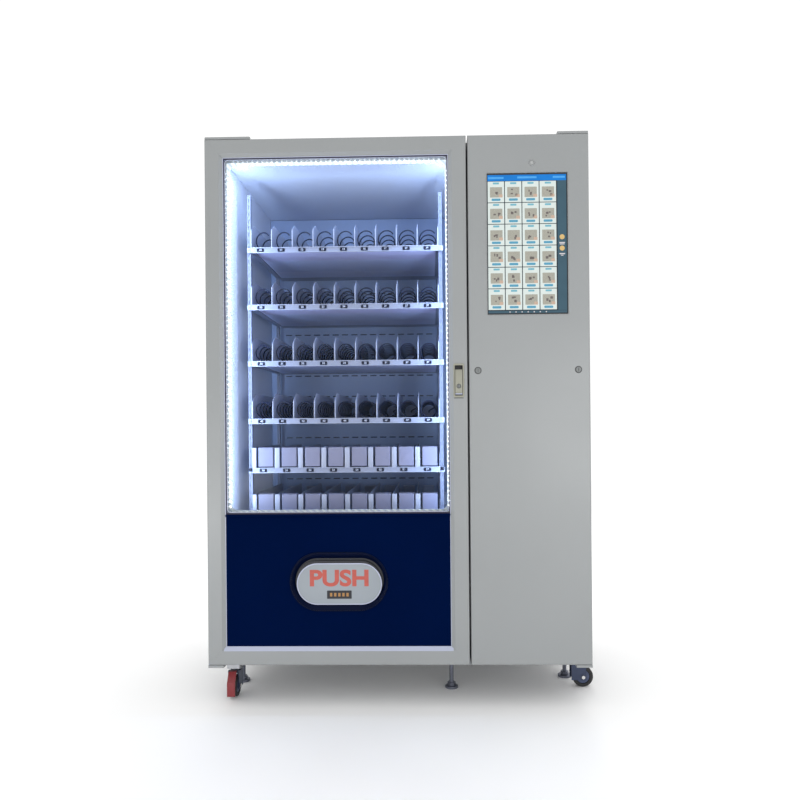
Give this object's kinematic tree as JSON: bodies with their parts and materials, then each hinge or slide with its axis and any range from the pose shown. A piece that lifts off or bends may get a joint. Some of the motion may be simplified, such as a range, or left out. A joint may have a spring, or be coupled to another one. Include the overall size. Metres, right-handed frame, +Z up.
{
  "type": "snack vending machine",
  "caption": "Glass-fronted snack vending machine with coil trays, delivery flap and a control door with a portrait screen.",
  "frame": {"origin": "on the floor at the centre of the footprint, which includes the front caster that points out past the right side", "axes": "+Z up, the doors face -Y, +X to the right of someone facing the machine"},
  "size_m": [1.3454, 0.809, 1.94],
  "materials": {
    "paint_silver": "satin powder coat",
    "paint_grey": "matt powder coat",
    "paint_navy": "semi-gloss",
    "liner_white": "satin",
    "tray_white": "satin",
    "coil_wire": "dark lacquer",
    "pusher_white": "semi-gloss",
    "glass": "clear",
    "screen_glass": "gloss",
    "light_diffuser": "translucent",
    "seal_rubber": "matt",
    "black_plastic": "moulded",
    "handle_metal": "satin",
    "lock_chrome": "polished",
    "machine_steel": "galvanised",
    "fork_steel": "satin",
    "tyre": "moulded tread",
    "pedal_red": "moulded",
    "foot_steel": "zinc plated"
  },
  "bodies": {
    "cabinet": {"left_side_panel": "paint_silver", "right_side_panel": "paint_silver", "rear_panel": "paint_grey", "top_panel": "paint_silver", "base_frame": "paint_grey", "insulated_liner": "liner_white", "tray_supports": "liner_white", "door_hinges": "paint_silver", "mains_inlet": "black_plastic", "cooling_unit": "machine_steel", "control_electronics": "machine_steel", "delivery_bin": "paint_grey", "caster_mounts": "machine_steel"},
    "fan": {"fan_rotor": "black_plastic"},
    "glass_door": {"door_frame": "paint_silver", "door_glass": "glass", "lower_panel": "paint_navy", "flap_bezel": "black_plastic", "led_light_frame": "light_diffuser", "door_gasket": "seal_rubber", "handle_dish": "handle_metal"},
    "delivery_flap": {"delivery_flap": "black_plastic"},
    "handle_lever": {"handle_lever": "handle_metal"},
    "key_barrel": {"handle_key_barrel": "lock_chrome"},
    "lock_rod": {"lock_rod": "handle_metal"},
    "control_door": {"control_door": "paint_silver", "touch_screen": "screen_glass", "camera_lens": "screen_glass"},
    "lock_left": {"lock_barrel_left": "lock_chrome"},
    "lock_right": {"lock_barrel_right": "lock_chrome"},
    "caster_left": {"caster_fork_front_left": "fork_steel"},
    "caster_right": {"caster_fork_front_right": "fork_steel"},
    "wheel_front_left": {"wheel_front_left": "tyre"},
    "wheel_front_right": {"wheel_front_right": "tyre"},
    "wheel_rear_left": {"wheel_rear_left": "tyre"},
    "wheel_rear_right": {"wheel_rear_right": "tyre"},
    "brake_pedal": {"brake_pedal": "pedal_red"},
    "foot_left": {"foot_left": "foot_steel"},
    "foot_middle": {"foot_middle": "foot_steel"},
    "foot_right": {"foot_right": "foot_steel"},
    "tray_5": {"tray_5": "tray_white"},
    "tray_6": {"tray_6": "tray_white"},
    "pushers_5": {"tray_5_pushers": "pusher_white"},
    "pushers_6": {"tray_6_pushers": "pusher_white"},
    "tray_1": {"tray_1": "tray_white"},
    "tray_2": {"tray_2": "tray_white", "tray_2_coils": "coil_wire"},
    "tray_3": {"tray_3": "tray_white", "tray_3_coils": "coil_wire"},
    "tray_4": {"tray_4": "tray_white", "tray_4_coils": "coil_wire"},
    "coil_1": {"coil_1": "coil_wire"},
    "coil_2": {"coil_2": "coil_wire"},
    "coil_3": {"coil_3": "coil_wire"},
    "coil_4": {"coil_4": "coil_wire"},
    "coil_5": {"coil_5": "coil_wire"},
    "coil_6": {"coil_6": "coil_wire"},
    "coil_7": {"coil_7": "coil_wire"},
    "coil_8": {"coil_8": "coil_wire"},
    "coil_9": {"coil_9": "coil_wire"}
  },
  "joints": [
    {"name": "glass_door_hinge", "type": "hinge", "parent": "cabinet", "child": "glass_door", "pos_m": [-0.66075, -0.388, 1], "axis": [0, 0, -1], "range_deg": [0, 110]},
    {"name": "control_door_hinge", "type": "hinge", "parent": "cabinet", "child": "control_door", "pos_m": [0.61525, -0.388, 1], "axis": [0, 0, 1], "range_deg": [0, 110]},
    {"name": "delivery_flap_hinge", "type": "hinge", "parent": "glass_door", "child": "delivery_flap", "pos_m": [-0.22675, -0.357, 0.518], "axis": [1, 0, 0], "range_deg": [0, 60]},
    {"name": "handle_lift", "type": "hinge", "parent": "glass_door", "child": "handle_lever", "pos_m": [0.18525, -0.389, 1.068], "axis": [1, 0, 0], "range_deg": [0, 35]},
    {"name": "lock_rod_slide", "type": "slide", "parent": "glass_door", "child": "lock_rod", "axis": [0, 0, 1], "range_m": [0, 0.0155]},
    {"name": "key_turn", "type": "hinge", "parent": "handle_lever", "child": "key_barrel", "pos_m": [0.18525, -0.397, 1.086], "axis": [0, -1, 0], "range_deg": [0, 90]},
    {"name": "lock_left_turn", "type": "hinge", "parent": "control_door", "child": "lock_left", "pos_m": [0.25025, -0.391, 1.138], "axis": [0, 1, 0], "range_deg": [0, 90]},
    {"name": "lock_right_turn", "type": "hinge", "parent": "control_door", "child": "lock_right", "pos_m": [0.58725, -0.391, 1.138], "axis": [0, -1, 0], "range_deg": [0, 90]},
    {"name": "fan_spin", "type": "hinge", "parent": "cabinet", "child": "fan", "pos_m": [-0.07275, 0.28, 0.32], "axis": [0, 1, 0], "continuous": true},
    {"name": "caster_left_swivel", "type": "hinge", "parent": "cabinet", "child": "caster_left", "pos_m": [-0.61475, -0.263, 0.09], "axis": [0, 0, 1], "continuous": true},
    {"name": "caster_right_swivel", "type": "hinge", "parent": "cabinet", "child": "caster_right", "pos_m": [0.60525, -0.2, 0.09], "axis": [0, 0, 1], "continuous": true},
    {"name": "wheel_front_left_spin", "type": "hinge", "parent": "caster_left", "child": "wheel_front_left", "pos_m": [-0.61475, -0.293, 0.0375], "axis": [1, 0, 0], "continuous": true},
    {"name": "wheel_front_right_spin", "type": "hinge", "parent": "caster_right", "child": "wheel_front_right", "pos_m": [0.63525, -0.2, 0.0375], "axis": [0, 1, 0], "continuous": true},
    {"name": "wheel_rear_left_spin", "type": "hinge", "parent": "cabinet", "child": "wheel_rear_left", "pos_m": [-0.61475, 0.29, 0.0375], "axis": [1, 0, 0], "continuous": true},
    {"name": "wheel_rear_right_spin", "type": "hinge", "parent": "cabinet", "child": "wheel_rear_right", "pos_m": [0.56925, 0.29, 0.0375], "axis": [1, 0, 0], "continuous": true},
    {"name": "brake_pedal_tilt", "type": "hinge", "parent": "caster_left", "child": "brake_pedal", "pos_m": [-0.61475, -0.307, 0.0915], "axis": [-1, 0, 0], "range_deg": [0, 15]},
    {"name": "foot_left_turn", "type": "hinge", "parent": "cabinet", "child": "foot_left", "pos_m": [-0.62275, -0.15, 0.05], "axis": [0, 0, 1], "continuous": true},
    {"name": "foot_middle_turn", "type": "hinge", "parent": "cabinet", "child": "foot_middle", "pos_m": [0.15825, -0.214, 0.05], "axis": [0, 0, 1], "continuous": true},
    {"name": "foot_right_turn", "type": "hinge", "parent": "cabinet", "child": "foot_right", "pos_m": [0.59025, -0.105, 0.05], "axis": [0, 0, 1], "continuous": true},
    {"name": "tray_1_slide", "type": "slide", "parent": "cabinet", "child": "tray_1", "axis": [0, -1, 0], "range_m": [0, 0.12]},
    {"name": "tray_2_slide", "type": "slide", "parent": "cabinet", "child": "tray_2", "axis": [0, -1, 0], "range_m": [0, 0.12]},
    {"name": "tray_3_slide", "type": "slide", "parent": "cabinet", "child": "tray_3", "axis": [0, -1, 0], "range_m": [0, 0.12]},
    {"name": "tray_4_slide", "type": "slide", "parent": "cabinet", "child": "tray_4", "axis": [0, -1, 0], "range_m": [0, 0.12]},
    {"name": "tray_5_slide", "type": "slide", "parent": "cabinet", "child": "tray_5", "axis": [0, -1, 0], "range_m": [0, 0.12]},
    {"name": "tray_6_slide", "type": "slide", "parent": "cabinet", "child": "tray_6", "axis": [0, -1, 0], "range_m": [0, 0.12]},
    {"name": "coil_1_turn", "type": "hinge", "parent": "tray_1", "child": "coil_1", "pos_m": [-0.53036, 0, 1.648], "axis": [0, -1, 0], "continuous": true},
    {"name": "coil_2_turn", "type": "hinge", "parent": "tray_1", "child": "coil_2", "pos_m": [-0.45358, 0, 1.648], "axis": [0, -1, 0], "continuous": true},
    {"name": "coil_3_turn", "type": "hinge", "parent": "tray_1", "child": "coil_3", "pos_m": [-0.37681, 0, 1.648], "axis": [0, -1, 0], "continuous": true},
    {"name": "coil_4_turn", "type": "hinge", "parent": "tray_1", "child": "coil_4", "pos_m": [-0.30003, 0, 1.648], "axis": [0, -1, 0], "continuous": true},
    {"name": "coil_5_turn", "type": "hinge", "parent": "tray_1", "child": "coil_5", "pos_m": [-0.22325, 0, 1.648], "axis": [0, -1, 0], "continuous": true},
    {"name": "coil_6_turn", "type": "hinge", "parent": "tray_1", "child": "coil_6", "pos_m": [-0.14647, 0, 1.648], "axis": [0, -1, 0], "continuous": true},
    {"name": "coil_7_turn", "type": "hinge", "parent": "tray_1", "child": "coil_7", "pos_m": [-0.06969, 0, 1.648], "axis": [0, -1, 0], "continuous": true},
    {"name": "coil_8_turn", "type": "hinge", "parent": "tray_1", "child": "coil_8", "pos_m": [0.00708, 0, 1.648], "axis": [0, -1, 0], "continuous": true},
    {"name": "coil_9_turn", "type": "hinge", "parent": "tray_1", "child": "coil_9", "pos_m": [0.08386, 0, 1.648], "axis": [0, -1, 0], "continuous": true},
    {"name": "pushers_5_slide", "type": "slide", "parent": "tray_5", "child": "pushers_5", "axis": [0, 1, 0], "range_m": [0, 0.4], "stiffness_N_per_m": 6},
    {"name": "pushers_6_slide", "type": "slide", "parent": "tray_6", "child": "pushers_6", "axis": [0, 1, 0], "range_m": [0, 0.4], "stiffness_N_per_m": 6}
  ],
  "couplings": [
    {"joint": "lock_rod_slide", "follows": "handle_lift", "m_per_rad": 0.0245}
  ]
}
